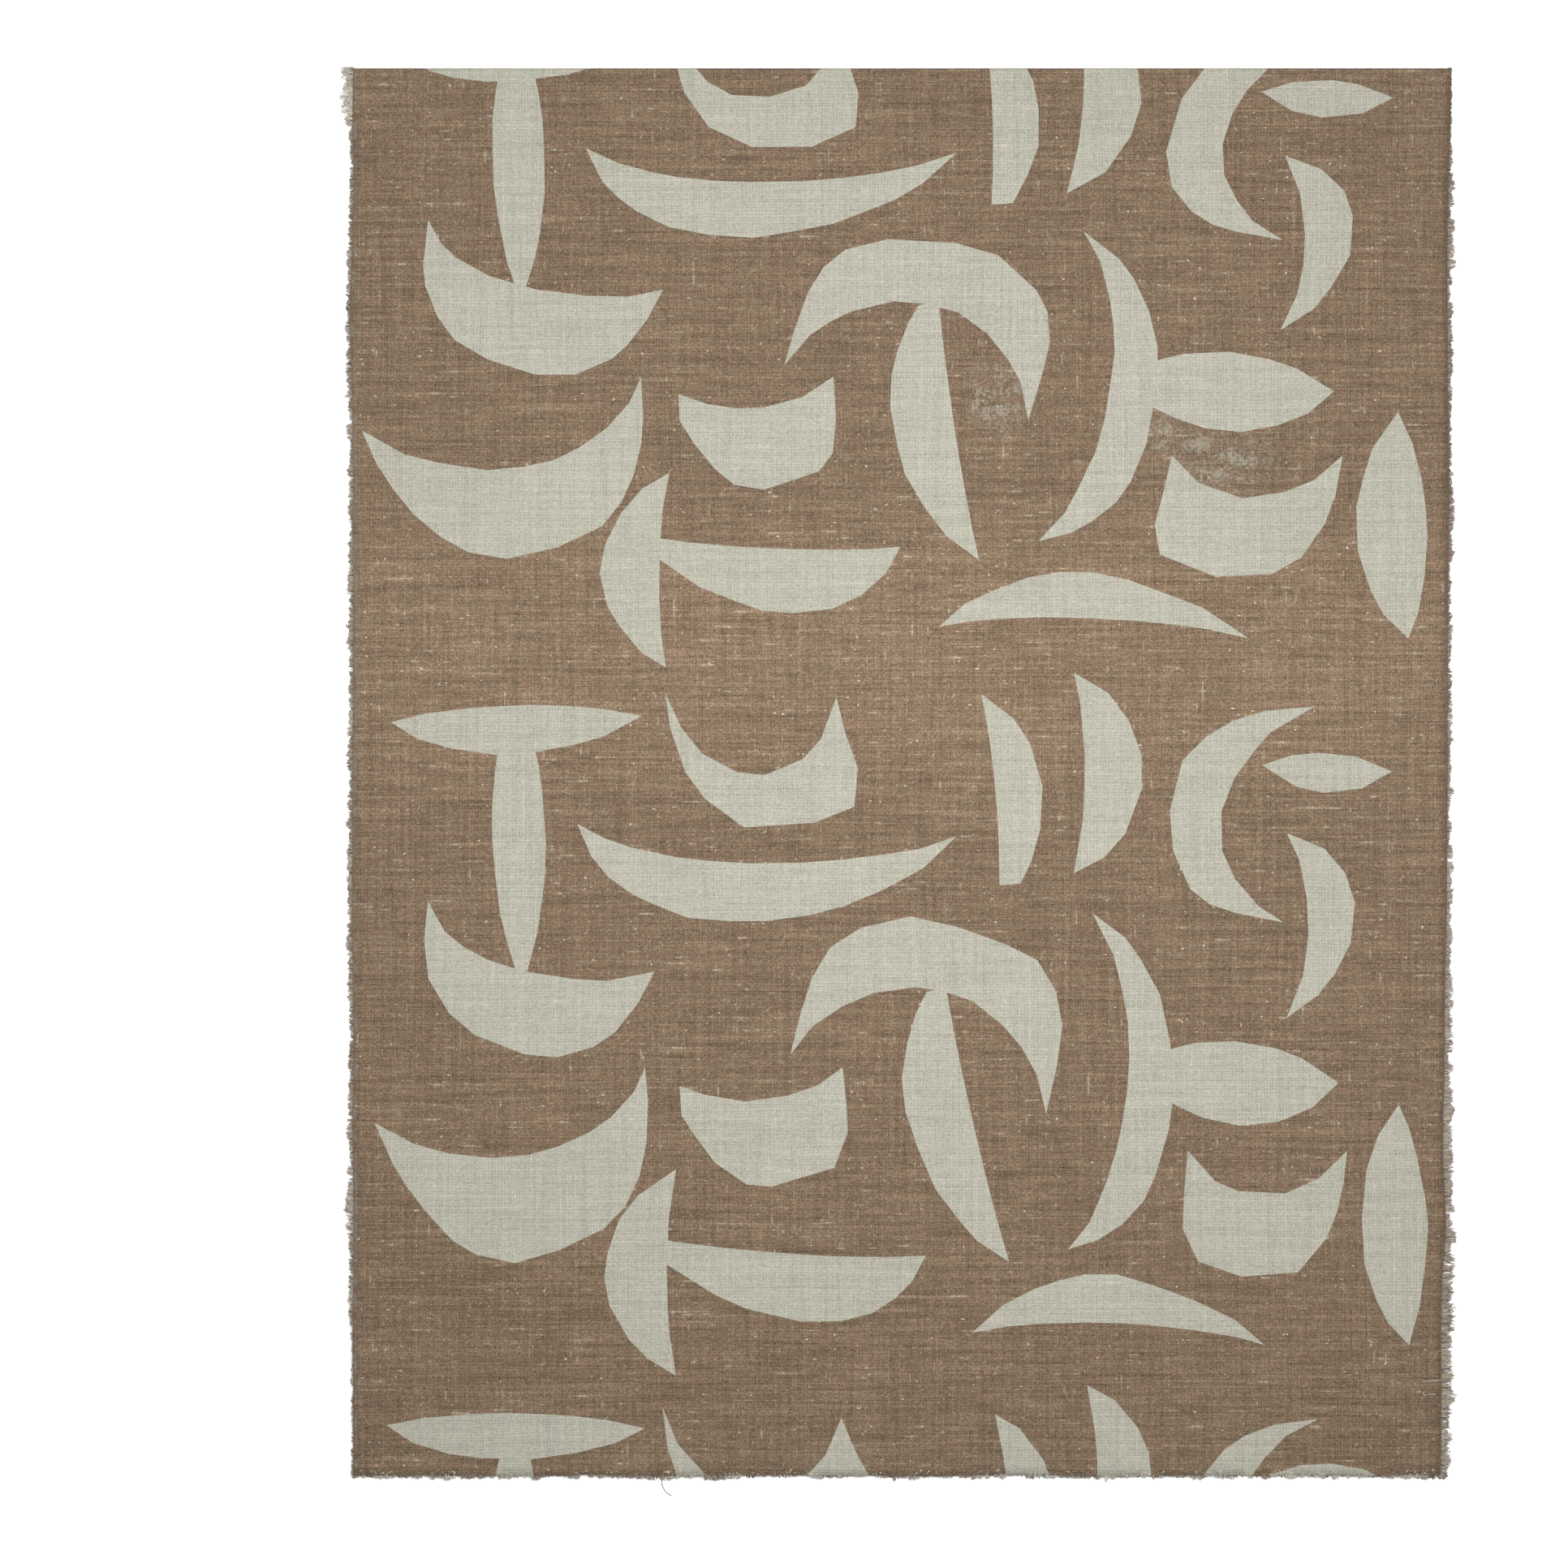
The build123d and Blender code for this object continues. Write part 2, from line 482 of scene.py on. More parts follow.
def tubes(lines, widths, heights, sides):
    """Closed tubes round lines of points, with half sizes at each: points, faces and line numbers."""
    count, rings, _ = lines.shape
    ahead = np.gradient(lines, axis=1)
    ahead /= np.maximum(np.linalg.norm(ahead, axis=2, keepdims=True), 1e-12)
    level = np.cross(ahead, UP)
    level /= np.maximum(np.linalg.norm(level, axis=2, keepdims=True), 1e-12)
    upright = np.cross(level, ahead)
    angles = np.arange(sides) * 2 * math.pi / sides
    ring = (
        lines[:, :, None, :]
        + level[:, :, None, :] * (widths[:, :, None] * np.cos(angles))[..., None]
        + upright[:, :, None, :] * (heights[:, :, None] * np.sin(angles))[..., None]
    )
    points = ring.reshape(-1, 3)
    number = np.arange(count * rings * sides).reshape(count, rings, sides)
    here, after = number[:, :-1], number[:, 1:]
    quads = np.stack([here, np.roll(here, -1, axis=2), np.roll(after, -1, axis=2), after], axis=-1)
    faces = quads.reshape(-1, 4).tolist() + number[:, 0, ::-1].tolist() + number[:, -1].tolist()
    return points, faces, np.repeat(np.arange(count), rings * sides)


# ---- Fringes, binders and loose threads ----

STRANDS = 5  # that each yarn's end comes apart into
STRAND_RINGS = 5
STRAND_SIDES = 4
STRAND_HALF_WIDTHS = (0.11 * MM, 0.18 * MM)  # the thinnest and the thickest
STRAND_TAPER = (1.0, 1.05, 1.05, 0.95, 0.6)
HAIR_RINGS = 4
HAIR_SIDES = 3
HAIR_HALF_WIDTH = 0.035 * MM
HAIR_LENGTHS = (0.3 * MM, 1.1 * MM)
HAIR_TAPER = (1.0, 1.0, 0.8, 0.4)
FLOOR_GAP = 0.02 * MM  # the least height of a strand over the table
BINDER_TWIST = 2.6 * MM  # the length of one whole turn
BINDER_RADIUS = 0.09 * MM
BINDER_SIDES = 5


def bundled(count, random, smallest=2, largest=6):
    """Gives each yarn end the number of the bundle that it clings to."""
    sizes = random.integers(smallest, largest + 1, count)
    return np.repeat(np.arange(count), sizes)[:count]


def curved_lines(starts, ends, sag, random, rings):
    """Lines from starts to ends, each bowed a little to one side."""
    share = np.linspace(0, 1, rings)[None, :, None]
    lines = starts[:, None, :] * (1 - share) + ends[:, None, :] * share
    reach = ends - starts
    aside = np.stack([-reach[:, 1], reach[:, 0], np.zeros(len(reach))], axis=1)
    bow = random.normal(0, sag, len(starts))[:, None, None] * np.sin(math.pi * share * 0.9)
    return lines + aside[:, None, :] * bow


def hair_lines(tips, directions, random, lengths):
    """Single fibres that stray from the yarns' tips."""
    turn = random.normal(0, 0.8, len(tips))
    cosine, sine = np.cos(turn), np.sin(turn)
    x, y, _ = directions.T
    rise = random.uniform(-0.05, 0.25, len(tips))
    out = np.stack([x * cosine - y * sine, x * sine + y * cosine, rise], axis=1)
    reach = out * lengths[:, None]
    return curved_lines(tips - 0.4 * reach, tips + reach, 0.35, random, HAIR_RINGS)


def make_fringe(name, starts, ends, places, tints, material, random, hairs=0.3):
    """Yarn ends, each come apart into strands, with stray fibres."""
    owner = np.repeat(np.arange(len(starts)), STRANDS)
    count = len(owner)
    reach = (ends - starts)[owner]
    length = np.linalg.norm(reach, axis=1)
    ahead = reach / length[:, None]
    beside = np.cross(ahead, UP)
    root = starts[owner] + beside * random.normal(0, 0.22 * MM, count)[:, None]
    tip = starts[owner] + reach * (1.0 - 0.30 * random.random(count) ** 2)[:, None]
    tip += beside * (random.normal(0, 1, count) * 0.11 * length)[:, None]
    lift = random.uniform(-0.08, 0.10, count) * MM
    root[:, 2] += lift
    tip[:, 2] += lift - random.uniform(0, 0.15, count) * MM
    lines = curved_lines(root, tip, 0.16, random, STRAND_RINGS)
    width = random.uniform(*STRAND_HALF_WIDTHS, count)[:, None] * np.array(STRAND_TAPER)
    points, faces, strand = tubes(lines, width, width * 0.8, STRAND_SIDES)
    own = tints[owner] + random.normal(0, 0.10, count)
    towards_tip = np.tile(np.repeat(np.linspace(0, 1, STRAND_RINGS), STRAND_SIDES), count)
    tone = own[strand] + 0.24 * (towards_tip - 0.65)

    chosen = np.flatnonzero(random.random(count) < hairs / 2)
    fibres = hair_lines(tip[chosen], ahead[chosen], random, random.uniform(*HAIR_LENGTHS, len(chosen)))
    thin = np.full((len(chosen), HAIR_RINGS), HAIR_HALF_WIDTH) * np.array(HAIR_TAPER)
    hair_points, hair_faces, hair = tubes(fibres, thin, thin, HAIR_SIDES)
    faces += [[corner + len(points) for corner in face] for face in hair_faces]
    yarn = np.concatenate([owner[strand], owner[chosen[hair]]])
    tone = np.concatenate([tone, own[chosen[hair]]])
    points = np.concatenate([points, hair_points])
    points[:, 2] = np.maximum(points[:, 2], FLOOR_GAP)
    return make_mesh(name, points, faces, places[yarn], [material], tints=np.clip(tone, 0, 1))


def side_fringe_reach(side, along):
    """How far the weft ends stand out on average, and how pale they are."""
    from_end = distance_from_cut_end(along)
    if side == "right":
        tips = RIGHT_FRINGE_LINE + 0.35 * wander(along, 31, 75 * MM) + rises(from_end, RIGHT_FRINGE_RISES)
        reach = tips - right_edge(along) / MM
        pale = 0.20 + 0.25 * smooth_step(from_end, 300 * MM, 150 * MM) + 0.12 * wander(along, 33, 30 * MM)
        return np.maximum(reach, 0.5) * MM, pale
    near_fold = smooth_step(from_end, layer_length - 19.5 * MM, layer_length - 15.5 * MM)
    near_fold = near_fold * (1 - 0.40 * smooth_step(from_end, layer_length - 14 * MM, layer_length))
    pale_stretch = bump(from_end, 89 * MM, 11 * MM)
    worn = 1.5 - 0.9 * smooth_step(from_end, 62 * MM, 40 * MM)
    reach = worn * (1 + 0.33 * wander(along, 32, 28 * MM)) + 2.5 * near_fold + 0.8 * pale_stretch
    pale = 0.30 + 0.25 * wander(along, 34, 55 * MM) + 0.8 * near_fold + 0.4 * pale_stretch
    return reach * MM, np.clip(pale, 0, 1)


def make_side_fringe(side, material):
    """Weft ends along one whole side, round the fold to the back layer."""
    random = np.random.default_rng(101 if side == "right" else 102)
    edge, outward = SIDES[side]
    along = np.arange(0.8 * MM, flat_length - 0.8 * MM, fringe_pitch)
    along += random.normal(0, 0.12 * MM, len(along))
    reach, pale = side_fringe_reach(side, along)
    bundle = bundled(len(along), random)
    own = random.normal(0, 1, (bundle.max() + 1, 3))[bundle]
    middle = np.bincount(bundle, along) / np.maximum(np.bincount(bundle), 1)
    from_middle = along - middle[bundle]
    reach = reach * (1 + 0.22 * own[:, 0] + random.normal(0, 0.09, len(along))) - 0.10 * from_middle**2 / MM
    reach = reach * np.where(own[:, 2] < -1.3, 0.6, 1.0)
    reach += (random.random(len(along)) < 0.015) * random.uniform(0.3, 0.9, len(along)) * MM
    pull = 0.20 * MM * own[:, 1] - 0.12 * from_middle
    kept = random.random(len(along)) > (0.05 if side == "right" else 0.16)
    along, reach, pale, pull, own = (values[kept] for values in (along, reach, pale, pull, own))
    root, _ = cloth_places(edge(along) - outward * 0.8 * MM, along)
    tip, _ = cloth_places(edge(along) + outward * reach, np.clip(along + pull, 0, flat_length))
    tints = pale + random.normal(0, 0.08, len(along)) + 0.09 * own[:, 2]
    places = np.stack([edge(along) + outward * reach, along], axis=1)
    return make_fringe(f"side_fringe_{side}", root, tip, places, tints, material, random)


def make_end_fringe(layer, material):
    """Warp ends at one cut end."""
    random = np.random.default_rng(111 if layer == "front" else 112)
    at_end, inward = (0.0, 1) if layer == "front" else (flat_length, -1)
    across = np.arange(left_edge(at_end) + 0.4 * MM, right_edge(at_end) + 2.4 * MM, 0.8 * MM)
    across += random.normal(0, 0.1 * MM, len(across))
    bundle = bundled(len(across), random, 1, 5)
    own = random.normal(0, 1, (bundle.max() + 1, 2))[bundle]
    weave_end = fitted_along(across, np.full(len(across), at_end))
    reach = 0.6 + 0.3 * wander(across, 41, 24 * MM) + 0.42 * own[:, 0]
    reach += random.normal(0, 0.15, len(across))
    reach = (reach.clip(0.1, 1.7) + (0.0 if layer == "front" else 0.3)) * MM
    reach += (random.random(len(across)) < 0.03) * random.uniform(0.3, 1.2, len(across)) * MM
    places = np.stack([across, weave_end], axis=1)
    bare = inside_any(places + [0, inward * 0.6 * MM], bare_outlines)
    unprinted = smooth_step(wander(across, 42, 22 * MM), -0.1, 0.3)
    unravelled = (0.3 + (0.7 + 1.1 * unprinted) * random.random(len(across))) * MM
    root, _ = cloth_places(across, weave_end + inward * unravelled)
    root[:, 2] += 0.20 * MM if layer == "front" else 0.0
    tip, _ = cloth_places(across + 0.22 * MM * own[:, 1], weave_end)
    tip += np.array([0.0, -1.0, 0.0]) * reach[:, None]
    tints = np.where(bare, 0.95, 0.25 + 0.65 * unprinted) + random.normal(0, 0.12, len(across))
    return make_fringe(f"end_fringe_{layer}", root, tip, places, tints, material, random, hairs=0.2)


def make_binder(side, material):
    """Two fine threads that twist round each other down one side and lock the weft ends."""
    edge, outward = SIDES[side]
    end_gap, rings_per_turn = 1.2 * MM, 7
    along = np.linspace(end_gap, flat_length - end_gap, round(flat_length / BINDER_TWIST * rings_per_turn))
    strands = []
    for phase in (0, math.pi):
        angle = 2 * math.pi * along / BINDER_TWIST + phase
        inward = 0.30 * MM - 0.16 * MM * np.cos(angle)
        above = cloth_thickness / 2 + 0.02 * MM + 0.07 * MM * np.sin(angle)
        places, out = cloth_places(edge(along) - outward * inward, along)
        strands.append(places + out * above[:, None])
    lines = np.array(strands)
    lines[:, :, 2] = np.maximum(lines[:, :, 2], BINDER_RADIUS + FLOOR_GAP)
    radius = np.full(lines.shape[:2], BINDER_RADIUS)
    points, faces, owner = tubes(lines, radius, radius, BINDER_SIDES)
    nearest = np.tile(np.repeat(along, BINDER_SIDES), len(strands))
    places = np.stack([edge(nearest), nearest], axis=1)
    tints = np.full(len(owner), 0.0 if side == "right" else 1.0)
    return make_mesh(f"binder_{side}", points, faces, places, [material], tints=tints)


# Threads that lie loose on the front layer: where each starts across and along the cloth, its length, its
# heading in degrees, its curl, how pale it is from 0 to 1, and its radius. Lengths are millimetres.
LOOSE_THREADS = [
    (168.5, 31.5, 6.5, 2, 0.1, 1.0, 0.13),
    (169.0, 26.5, 4.6, 8, -0.1, 0.9, 0.10),
    (152.0, 438.0, 24.0, 1, 0.02, 0.7, 0.08),
    (-77.0, 1.2, 8.5, -70, 0.8, 0.1, 0.17),
    (-181.2, 411.5, 3.6, 40, 1.4, 0.6, 0.07),
    (-182.0, 375.0, 4.4, 62, -1.6, 0.6, 0.07),
]


def make_loose_threads(material):
    """Short stray threads."""
    random = np.random.default_rng(131)
    rings = 14
    lines = []
    for across, along, length, heading, curl, *_ in LOOSE_THREADS:
        share = np.linspace(0, 1, rings)
        angle = np.radians(heading) + curl * 2 * (share - 0.5) + 0.15 * wander(share, int(length * 10), 0.5)
        x = across * MM + np.cumsum(np.cos(angle)) * length * MM / rings
        s = along * MM + np.cumsum(np.sin(angle)) * length * MM / rings
        places, _ = cloth_places(x, np.maximum(s, 0))
        places[:, 1] += np.minimum(s, 0)
        places[:, 2] += cloth_thickness / 2 + 0.08 * MM
        lines.append(places)
    lines = np.array(lines)
    pale, radius = np.array(LOOSE_THREADS)[:, 5:].T
    radius = radius[:, None] * MM * random.uniform(0.8, 1.2, lines.shape[:2])
    points, faces, owner = tubes(lines, radius, radius, 6)
    return make_mesh("loose_threads", points, faces, points[:, :2], [material], tints=pale[owner])


# ---- Materials ----


def linear(red, green, blue):
    """A screen colour that is not near black, 0 to 255, as the linear colour that a shader takes."""
    parts = [part / 255 for part in (red, green, blue)]
    return (*(((part + 0.055) / 1.055) ** 2.4 for part in parts), 1.0)


class Surface:
    """One material's nodes. A value is a number, a colour or a node's output."""

    def __init__(self, name):
        self.material = bpy.data.materials.new(name)
        self.material.use_nodes = True
        self.tree = self.material.node_tree
        self.shader = next(node for node in self.tree.nodes if node.type == "BSDF_PRINCIPLED")

    def give(self, socket, value):
        """Links the value to the socket, or sets it there. None leaves the socket as it is."""
        if isinstance(value, bpy.types.NodeSocket):
            self.tree.links.new(value, socket)
        elif value is not None:
            socket.default_value = value

    def node(self, kind, *values):
        """A new node, with values for its first inputs."""
        node = self.tree.nodes.new("ShaderNode" + kind)
        for socket, value in zip(node.inputs, values):
            self.give(socket, value)
        return node

    def maths(self, operation, first, second=None, clamp=False):
        node = self.node("Math", first, second)
        node.operation, node.use_clamp = operation, clamp
        return node.outputs[0]

    def chained(self, operation, *values):
        """One sum over many values."""
        return functools.reduce(lambda result, value: self.maths(operation, result, value), values)

    def add(self, *values):
        return self.chained("ADD", *values)

    def times(self, *values):
        return self.chained("MULTIPLY", *values)

    def attribute(self, name):
        node = self.node("Attribute")
        node.attribute_name = name
        return node

    def cloth_place(self):
        """Places across and along the cloth, and how far they are from its left edge."""
        return self.node("SeparateXYZ", self.attribute("cloth_place").outputs["Vector"]).outputs

    def noise(self, x, y, layer, detail, roughness=0.5):
        """Smooth noise about 0.5, one wave a unit."""
        place = self.node("CombineXYZ", x, y, layer).outputs[0]
        return self.node("TexNoise", place, None, 1.0, detail, roughness).outputs["Fac"]

    def ranged(self, value, start, end, low=0.0, high=1.0):
        """Carries value smoothly from low at start to high at end."""
        node = self.node("MapRange", value, start, end, low, high)
        node.interpolation_type = "SMOOTHSTEP"
        return node.outputs[0]

    def mixed(self, share, first, second):
        """A share of the second colour in the first. A Mix node's colours are inputs 6 and 7, output 2."""
        node = self.node("Mix", share)
        node.data_type = "RGBA"
        self.give(node.inputs[6], first)
        self.give(node.inputs[7], second)
        return node.outputs[2]

    def shaded(self, colour, share):
        """The colour, made share times as bright."""
        node = self.node("VectorMath", colour)
        node.operation = "SCALE"
        self.give(node.inputs["Scale"], share)
        return node.outputs[0]

    def raised(self, height, distance, strength):
        """Bumps the surface by a height."""
        node = self.node("Bump")
        node.inputs["Distance"].default_value = distance
        node.inputs["Strength"].default_value = strength
        self.give(node.inputs["Height"], height)
        self.give(self.shader.inputs["Normal"], node.outputs[0])

    def finish(self, colour, roughness=0.92, sheen=0.12):
        """The finished material."""
        values = {"Base Color": colour, "Roughness": roughness, "Specular IOR Level": 0.22}
        values |= {"Sheen Weight": sheen, "Sheen Roughness": 0.5}
        for name, value in values.items():
            self.give(self.shader.inputs[name], value)
        return self.material


YARN_STEP = 1.73  # how far apart in the noise two neighbouring yarns are read


class Weave(Surface):
    """A surface in plain linen weave: its yarns, their tones and slubs, and the height of its face."""

    def __init__(self, name):
        super().__init__(name)
        self.across, self.along, self.from_left_edge = self.cloth_place()
        self.warp = self.yarn_count(self.across, self.along, 1.0)
        self.weft = self.yarn_count(self.along, self.across, 2.0)
        self.warp_number = self.maths("FLOOR", self.warp)
        self.weft_number = self.maths("FLOOR", self.weft)
        both = self.add(self.warp_number, self.weft_number, 4000.0)
        self.warp_on_top = self.maths("MODULO", both, 2.0)
        self.weft_on_top = self.maths("SUBTRACT", 1.0, self.warp_on_top)
        self.height = self.face_height()

    def yarn_count(self, position, other, layer):
        """The number of yarns passed so far: they lie unevenly, and bend a little."""
        slow = self.noise(self.times(position, 60.0), self.times(other, 16.0), layer, 1.0)
        quick = self.noise(self.times(position, 330.0), self.times(other, 60.0), layer + 0.5, 1.0)
        evenly = self.times(position, 1 / yarn_pitch)
        return self.add(evenly, self.times(slow, 2.4), self.times(quick, 0.9))

    def face_height(self):
        """Each yarn is round, and rises where it passes over and sinks where it passes under."""
        self.warp_middle = self.ranged(self.maths("PINGPONG", self.warp, 0.5), 0.0, 0.5)
        self.weft_middle = self.ranged(self.maths("PINGPONG", self.weft, 0.5), 0.0, 0.5)
        off_warp = self.maths("SUBTRACT", 1.0, self.warp_middle)
        off_weft = self.maths("SUBTRACT", 1.0, self.weft_middle)
        corner = self.times(off_warp, off_weft)
        warp_ridge = self.times(self.warp_middle, self.warp_on_top)
        weft_ridge = self.times(self.weft_middle, self.weft_on_top)
        ridge = self.add(warp_ridge, weft_ridge)
        return self.add(0.6, self.times(corner, -0.6), self.times(ridge, 0.4))

    def grained(self, x, x_share, y, y_share, layer, detail=2.0):
        """Rough noise over two values, scaled by their shares."""
        return self.noise(self.times(x, x_share), self.times(y, y_share), layer, detail, 0.6)

    def along_weft(self, length, layer):
        """Noise that changes from one weft yarn to the next, and over length along each."""
        return self.grained(self.across, 1 / length, self.weft_number, YARN_STEP, layer)

    def along_warp(self, length, layer):
        """Noise that changes from one warp yarn to the next, and over length along each."""
        return self.grained(self.warp_number, YARN_STEP, self.along, 1 / length, layer)

    def cloud(self, width, length, layer, detail=2.0):
        """Noise that takes no notice of the yarns."""
        return self.grained(self.across, 1 / width, self.along, 1 / length, layer, detail)

    def tone(self, layer, weft_share, warp_share, streak_share, grain_share):
        """How light the cloth is, about 0: lighter and darker yarns, streaks, and fibre grain."""
        parts = (
            (self.along_weft(50 * MM, layer + 0.1), weft_share * 0.6),
            (self.cloud(24 * MM, 0.7 * MM, layer + 0.5, 1.0), weft_share),
            (self.along_warp(60 * MM, layer + 0.2), warp_share * 0.6),
            (self.cloud(0.7 * MM, 30 * MM, layer + 0.6, 1.0), warp_share),
            (self.cloud(16 * MM, 2.6 * MM, layer + 0.3), streak_share),
            (self.cloud(0.55 * MM, 0.42 * MM, layer + 0.4), grain_share),
        )
        return self.add(*(self.times(self.add(noise, -0.5), share) for noise, share in parts))

    def flecks(self, level, layer, length=11 * MM):
        """Stretches of single yarns that stand out where they pass over, from 0 to 1."""
        weft = self.ranged(self.along_weft(length, layer + 0.5), level, level + 0.14)
        warp = self.ranged(self.along_warp(0.8 * length, layer + 0.6), level + 0.02, level + 0.16)
        weft = self.times(weft, self.ranged(self.weft_on_top, 0.0, 1.0, 0.65, 1.0))
        warp = self.times(warp, self.ranged(self.warp_on_top, 0.0, 1.0, 0.65, 1.0))
        weft = self.times(weft, self.ranged(self.weft_middle, 0.0, 0.8, 0.2, 1.0))
        warp = self.times(warp, self.ranged(self.warp_middle, 0.0, 0.8, 0.2, 0.8))
        return self.maths("MAXIMUM", weft, warp)

    def neps(self, level, layer):
        """Rare single specks, from 0 to 1."""
        return self.ranged(self.cloud(1.5 * MM, 1.0 * MM, layer + 0.7, 1.0), level, level + 0.10)

    def patch(self, across, along, width, length):
        """1 at a place on the cloth, and 0 away from it."""
        off_across = self.times(self.add(self.across, -across), 1 / width)
        off_along = self.times(self.add(self.along, -along), 1 / length)
        squared = self.add(self.times(off_across, off_across), self.times(off_along, off_along))
        return self.ranged(squared, 1.0, 0.0)


BARE_LINEN = linear(145, 141, 131)
BARE_SHADE = linear(141, 141, 127)
BARE_PALE = linear(166, 160, 148)
INK_RED = linear(102, 83, 66)
INK_OLIVE = linear(95, 81, 64)
INK_PALE = linear(142, 132, 115)
INK_DARK = linear(66, 54, 42)
BINDER = linear(92, 75, 61)
BINDER_PALE = linear(104, 87, 71)
WEFT_YARN, WEFT_YARN_PALE = linear(110, 91, 75), linear(164, 158, 144)
WARP_YARN, WARP_YARN_PALE = linear(112, 92, 75), linear(170, 164, 150)
FLOOR_WHITE = (0.93, 0.93, 0.93, 1.0)

# Where the ink came out thin: across and along the cloth, and over what width and length.
STARVED_PATCHES = (
    (31 * MM, 350 * MM, 13 * MM, 16 * MM),
    (103 * MM, 330 * MM, 24 * MM, 13 * MM),
    (84 * MM, 338 * MM, 10 * MM, 9 * MM),
)
THIN_BAND = (266 * MM, 58 * MM)  # where along the cloth the ink is thinner right across, and how broad


def bare_colour(weave):
    """Undyed linen: grey-green, with yarn tones, a few paler yarns, and painted shade between the yarns."""
    hue = weave.add(weave.cloud(1.6 * MM, 1.1 * MM, 3.0, 3.0), weave.along_warp(30 * MM, 3.5), -0.5)
    colour = weave.mixed(weave.ranged(hue, 0.3, 0.7), BARE_LINEN, BARE_SHADE)
    colour = weave.mixed(weave.times(weave.flecks(0.66, 5.0), 0.65), colour, BARE_PALE)
    tone = weave.tone(3.0, weft_share=0.30, warp_share=0.26, streak_share=0.14, grain_share=1.05)
    # Painted shade: darker where the weave's face sinks between yarns, and a touch lighter on the yarns'
    # tops.
    painted_weave_shading = weave.ranged(weave.height, 0.1, 1.0, -0.12, 0.03)
    return weave.shaded(colour, weave.add(1.0, tone, painted_weave_shading))


def ink_colour(weave):
    """Brown pigment: red and olive clouds, yarn tones, pale and dark slubs, and painted shade between the
    yarns.
    """
    clouds, yarns = weave.cloud(6 * MM, 3 * MM, 1.0, 4.0), weave.along_warp(40 * MM, 2.0)
    hue = weave.add(weave.times(clouds, 0.6), weave.times(yarns, 0.4))
    colour = weave.mixed(weave.ranged(hue, 0.36, 0.64), INK_OLIVE, INK_RED)
    colour = weave.mixed(weave.times(weave.flecks(0.63, 1.0), 0.8), colour, INK_PALE)
    colour = weave.mixed(weave.times(weave.flecks(0.63, 2.0, 16 * MM), 0.38), colour, INK_DARK)
    colour = weave.mixed(weave.times(weave.neps(0.705, 4.0), 0.8), colour, BARE_PALE)
    tone = weave.tone(5.0, weft_share=0.76, warp_share=0.46, streak_share=0.40, grain_share=2.1)
    colour = weave.mixed(weave.ranged(tone, 0.0, 0.6, 0.0, 0.15), colour, INK_PALE)
    # Painted shade in the hollows between yarns, and a faint painted highlight on their tops.
    painted_weave_shading = weave.ranged(weave.height, 0.1, 1.0, -0.15, 0.04)
    middle, breadth = THIN_BAND
    band = weave.times(weave.add(weave.along, -middle), 1 / breadth)
    thin = weave.times(weave.ranged(weave.times(band, band), 1.0, 0.0), 0.15)
    brightness = weave.add(1.0, weave.times(tone, 0.92), painted_weave_shading)
    return weave.shaded(colour, weave.times(brightness, weave.add(1.0, thin)))


def starved(weave):
    """How far the cloth shows through the ink, 0 to 1: in worn spots, and in places at the left edge."""
    grain = weave.cloud(1.1 * MM, 1.1 * MM, 9.0, 3.0)
    cluster = weave.cloud(5.2 * MM, 5.2 * MM, 8.0)
    spots = weave.ranged(weave.add(grain, weave.times(cluster, 0.8)), 0.82, 1.10)
    worn = weave.chained("MAXIMUM", *(weave.patch(*patch) for patch in STARVED_PATCHES))
    at_edge = weave.ranged(weave.from_left_edge, 1.8 * MM, 0.2 * MM)
    frayed = weave.times(at_edge, weave.ranged(weave.cloud(8 * MM, 5 * MM, 10.0), 0.35, 0.65))
    return weave.maths("ADD", weave.times(frayed, 0.5), weave.times(worn, spots, 0.5), clamp=True)


def printed_colour(weave):
    """The printed ground: ink, with the cloth showing where it is starved."""
    return weave.mixed(starved(weave), ink_colour(weave), bare_colour(weave))


def reverse_colour(weave, ink_share):
    """The cloth's back, where the ink has only struck through between the yarns."""
    between = weave.add(weave.times(weave.height, -0.5), weave.cloud(2 * MM, 1 * MM, 9.0))
    through = weave.ranged(between, -0.1, 0.5)
    share = weave.maths("MULTIPLY", weave.ranged(through, 0.0, 1.0, 1.35, 0.65), ink_share, clamp=True)
    return weave.mixed(share, bare_colour(weave), ink_colour(weave))


def cloth_material(name, colour_of, *settings):
    """A material raised like the weave, in the colour that colour_of makes."""
    weave = Weave(name)
    weave.raised(weave.height, 0.08 * MM, 0.8)
    return weave.finish(colour_of(weave, *settings))


def yarn_material(name, brown, pale):
    """Loose yarn: each end has its own tint, and is streaked."""
    surface = Surface(name)
    across, along, _ = surface.cloth_place()
    own = surface.noise(surface.times(across, 900.0), surface.times(along, 1400.0), 4.0, 2.0)
    own = surface.ranged(own, 0.3, 0.7, 0.85, 1.15)
    tint = surface.attribute("tint").outputs["Fac"]
    colour = surface.mixed(tint, brown, pale)
    place = surface.node("TexCoord").outputs["Object"]
    fibres = surface.node("TexNoise", place, None, 2600.0, 2.0).outputs["Fac"]
    streak = surface.ranged(fibres, 0.3, 0.7, 0.82, 1.14)
    return surface.finish(surface.shaded(colour, surface.times(streak, own)))


# ---- Floor, light and camera ----


def make_floor():
    """A pale floor just under the cloth."""
    reach, height = 6.0, -0.05 * MM
    corners = [(x * reach, y * reach, height) for x, y in ((-1, -1), (1, -1), (1, 1), (-1, 1))]
    mesh = bpy.data.meshes.new("floor")
    mesh.from_pydata(corners, [], [range(4)])
    mesh.materials.append(Surface("pale_floor").finish(FLOOR_WHITE, roughness=0.9, sheen=0.0))
    floor = linked("floor", mesh)


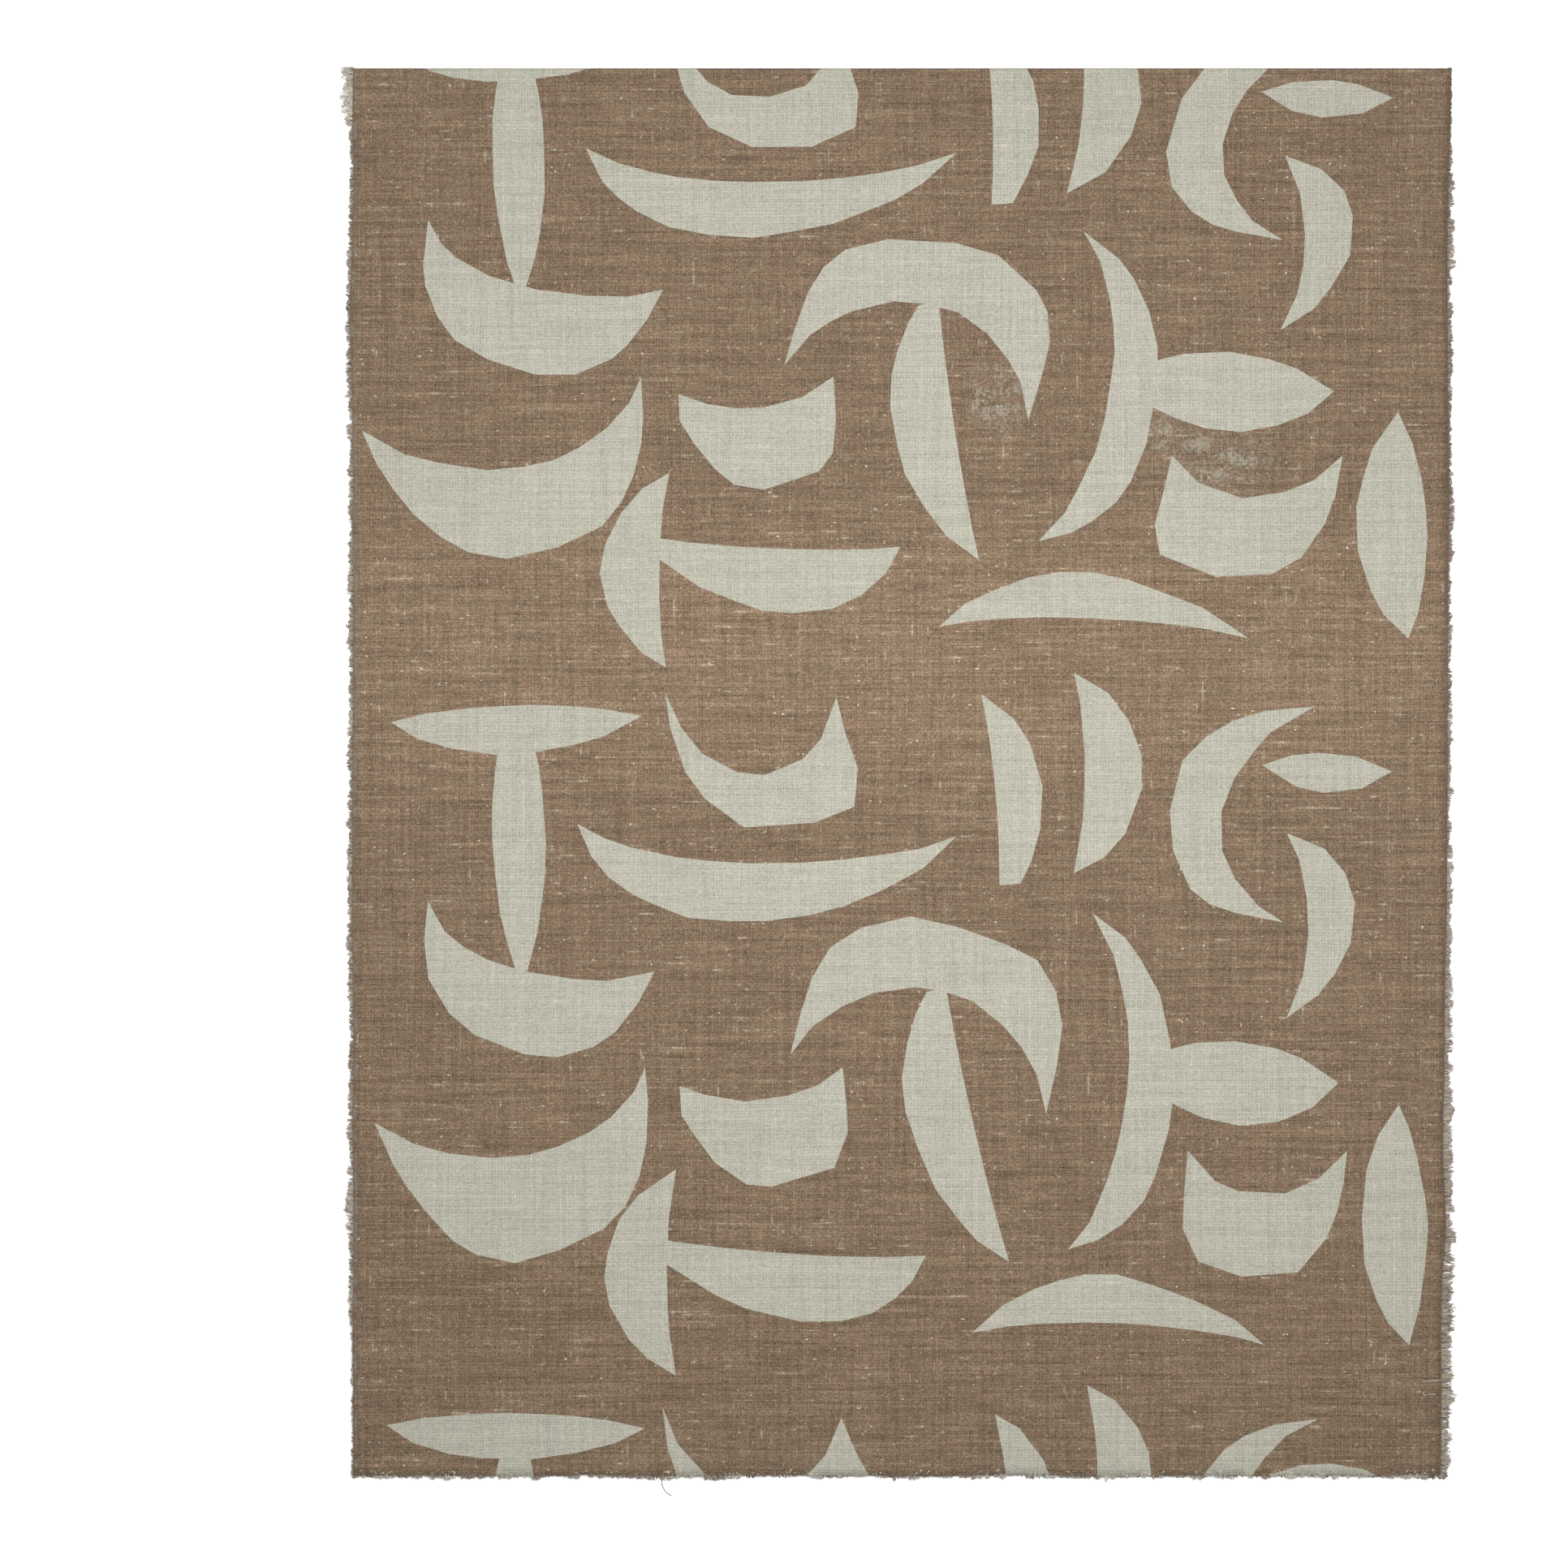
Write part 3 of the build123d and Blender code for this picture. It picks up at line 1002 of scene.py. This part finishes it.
def make_soft_light(name, place, target, size, power):
    """A round light at a place, turned to its target."""
    light = bpy.data.lights.new(name, "AREA")
    light.shape, light.size, light.energy = "DISK", size, power
    made = linked(name, light)
    made.location = place
    made.rotation_mode = "QUATERNION"
    made.rotation_quaternion = (Vector(target) - Vector(place)).to_track_quat("-Z", "Y")
    made.visible_camera = False


def make_lights():
    """A soft light over the cloth, a weaker one from the far left, and pale air all round."""
    make_soft_light("overhead", (0.032, 0.034, 0.68), (0.032, 0.034, 0), 0.40, 7.85)
    make_soft_light("raking", (-0.9, 0.8, 0.75), (0, 0, 0), 0.6, 6.0)
    world = bpy.data.worlds.new("pale_air")
    world.use_nodes = True
    background = world.node_tree.nodes["Background"]
    background.inputs["Color"].default_value = (1.0, 1.0, 1.0, 1.0)
    background.inputs["Strength"].default_value = 0.32
    bpy.context.scene.world = world


def make_camera():
    """Straight above the cloth, square to it and far away."""
    view_width = 508.5 * MM
    centre = (-38.0 * MM, -3.7 * MM)
    camera = bpy.data.cameras.new("camera")
    camera.lens, camera.sensor_width = 85.0, 36.0
    made = linked("camera", camera)
    distance = view_width / 2 / (camera.sensor_width / 2 / camera.lens)
    made.location = (*centre, front_high.z + distance)
    bpy.context.scene.camera = made
    bpy.context.scene.view_settings.view_transform = "Standard"


# ---- The runner ----


def bend_at_fold(piece):
    """Bakes the piece's place into its mesh; it is not split between the back and front halves."""
    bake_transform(piece)


def make_runner():
    """The cloth, and what is fixed to it or lies on it."""
    materials = [
        cloth_material("printed_ground", printed_colour),
        cloth_material("bare_linen", bare_colour),
        cloth_material("reverse_ground", reverse_colour, 0.55),
        cloth_material("reverse_bare", reverse_colour, 0.05),
    ]
    cloth = make_cloth(materials)
    bend_at_fold(cloth)
    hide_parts("front_panel", "fold_panel", "back_panel")

    weft_yarn = yarn_material("fringe_yarn", WEFT_YARN, WEFT_YARN_PALE)
    warp_yarn = yarn_material("end_yarn", WARP_YARN, WARP_YARN_PALE)
    binder_thread = yarn_material("binder_thread", BINDER, BINDER_PALE)
    on_cloth = []
    for side in ("left", "right"):
        fringe = make_side_fringe(side, weft_yarn)
        bend_at_fold(fringe)
        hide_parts(*(f"{part}_fringe_{side}" for part in ("front", "fold", "back")))
        binder = make_binder(side, binder_thread)
        bend_at_fold(binder)
        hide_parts(*(f"{part}_binder_{side}" for part in ("front", "fold", "back")))
        on_cloth += [fringe, binder]
    for layer in ("front", "back"):
        fringe = make_end_fringe(layer, warp_yarn)
        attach(fringe, f"{layer}_half")
        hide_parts(f"{layer}_end_fringe")
        on_cloth.append(fringe)
    threads = make_loose_threads(weft_yarn)
    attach(threads, "front_half")
    on_cloth.append(threads)


make_camera()
make_lights()
make_floor()
make_runner()
